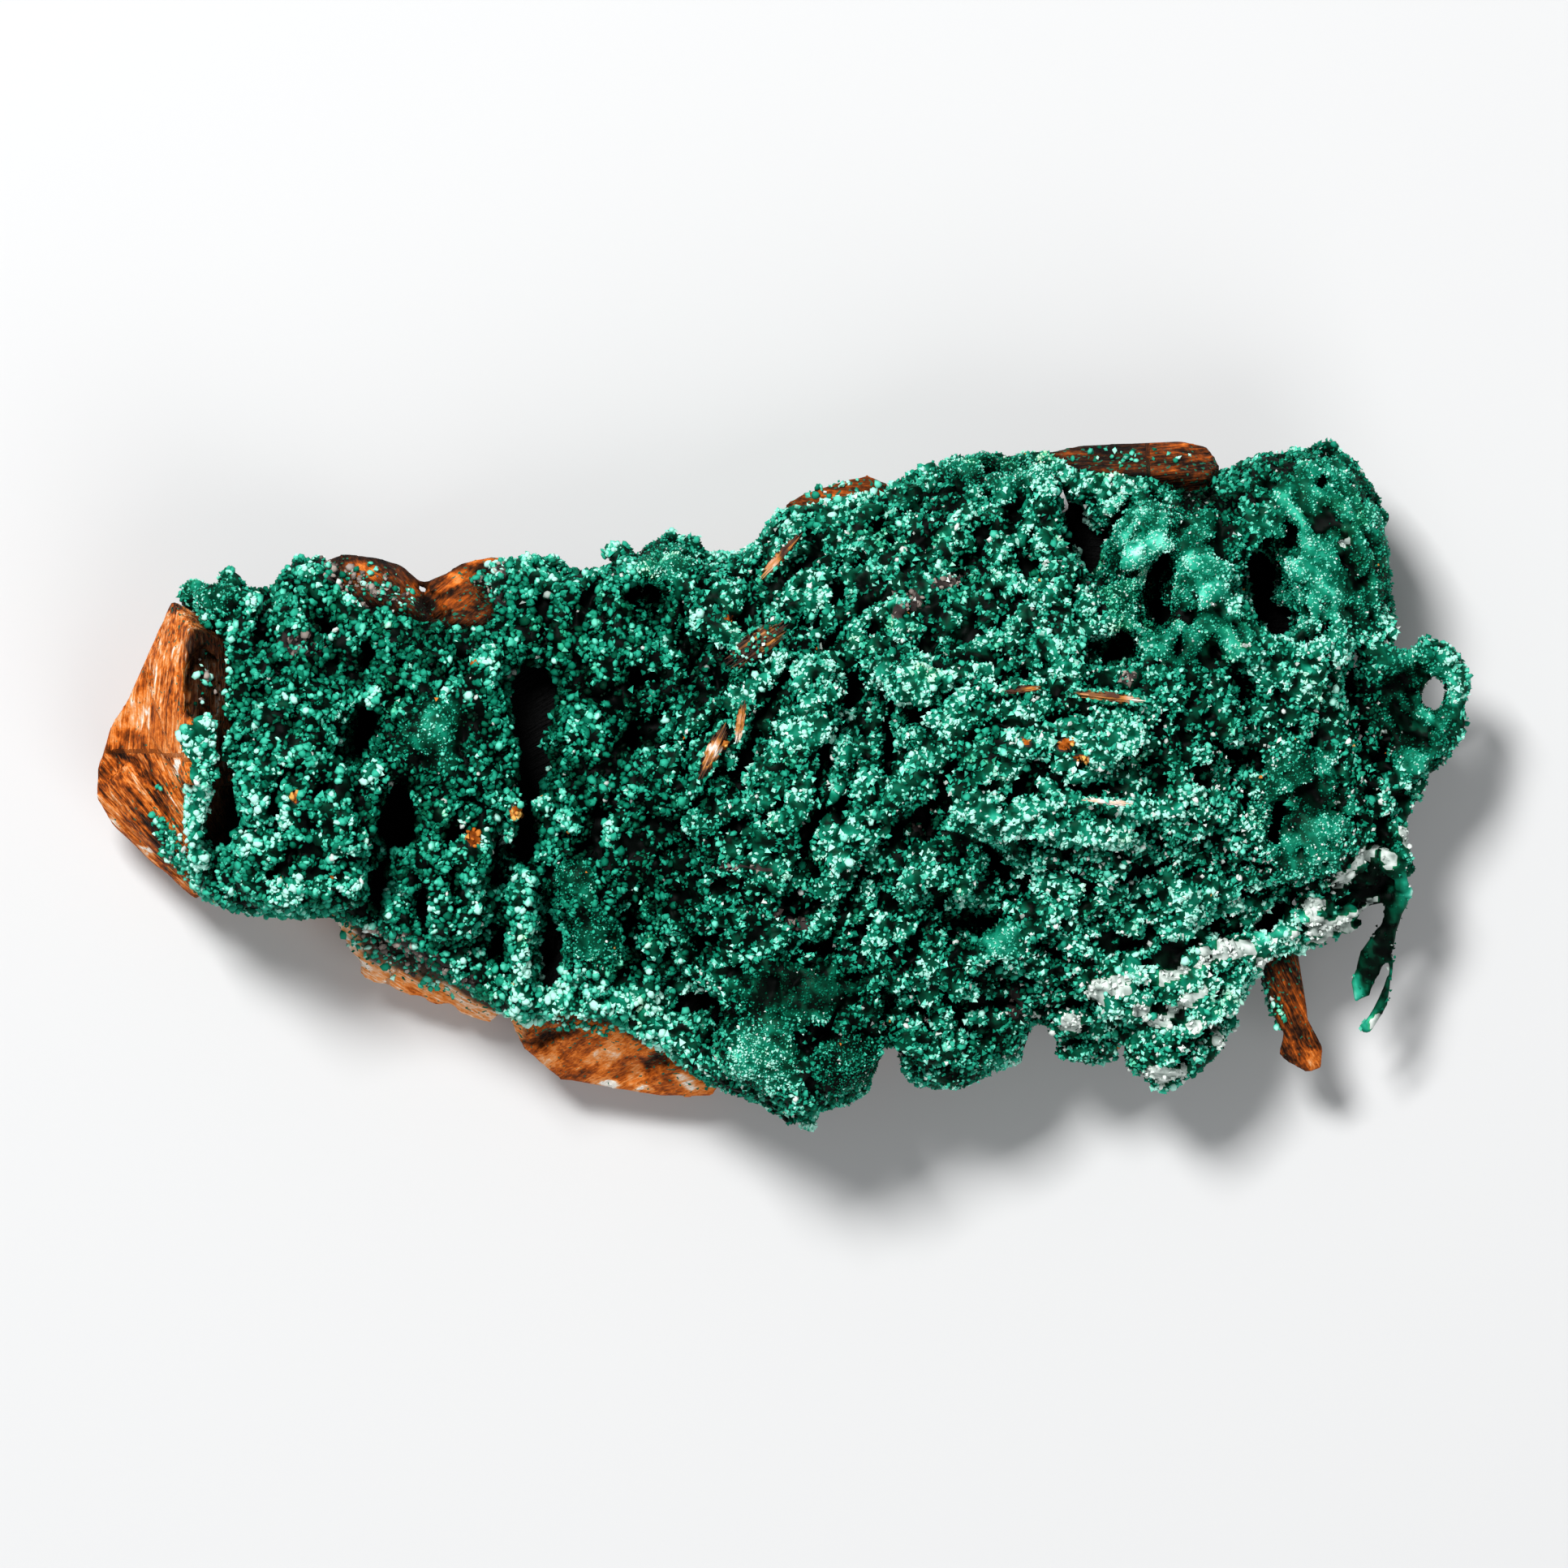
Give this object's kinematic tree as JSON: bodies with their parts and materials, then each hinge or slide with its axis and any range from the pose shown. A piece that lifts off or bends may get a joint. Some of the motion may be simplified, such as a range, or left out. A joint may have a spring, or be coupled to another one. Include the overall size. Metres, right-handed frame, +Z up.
{
  "type": "malachite on barite mineral specimen",
  "caption": "Spongy crust of granular green malachite on a rust-stained barite matrix, pitted and ridged, with small barite blades sticking out; lies on a flat break.",
  "frame": {"origin": "middle of the flat underside, under the centre of the whole specimen's outline", "axes": "+X along the specimen from its orange end to its thin green end, +Y across it, +Z up from the cut that it rests on towards the malachite face"},
  "size_m": [0.0928, 0.0462, 0.025],
  "materials": {
    "malachite": "granular, velvety green grains with near-black pits",
    "stained_barite": "matt, fibrous break with iron staining",
    "blade_barite": "dull cleaved blades, iron stained",
    "pale_barite": "pale, slightly glassy blade"
  },
  "bodies": {
    "root": {"barite_matrix": "stained_barite", "malachite_crust": "malachite", "barite_blade_upper": "blade_barite", "barite_blade_lens": "blade_barite", "barite_blade_left": "blade_barite", "barite_blade_left_thin": "blade_barite", "barite_blade_right": "blade_barite", "barite_blade_middle": "blade_barite", "barite_blade_white": "pale_barite"}
  },
  "joints": []
}
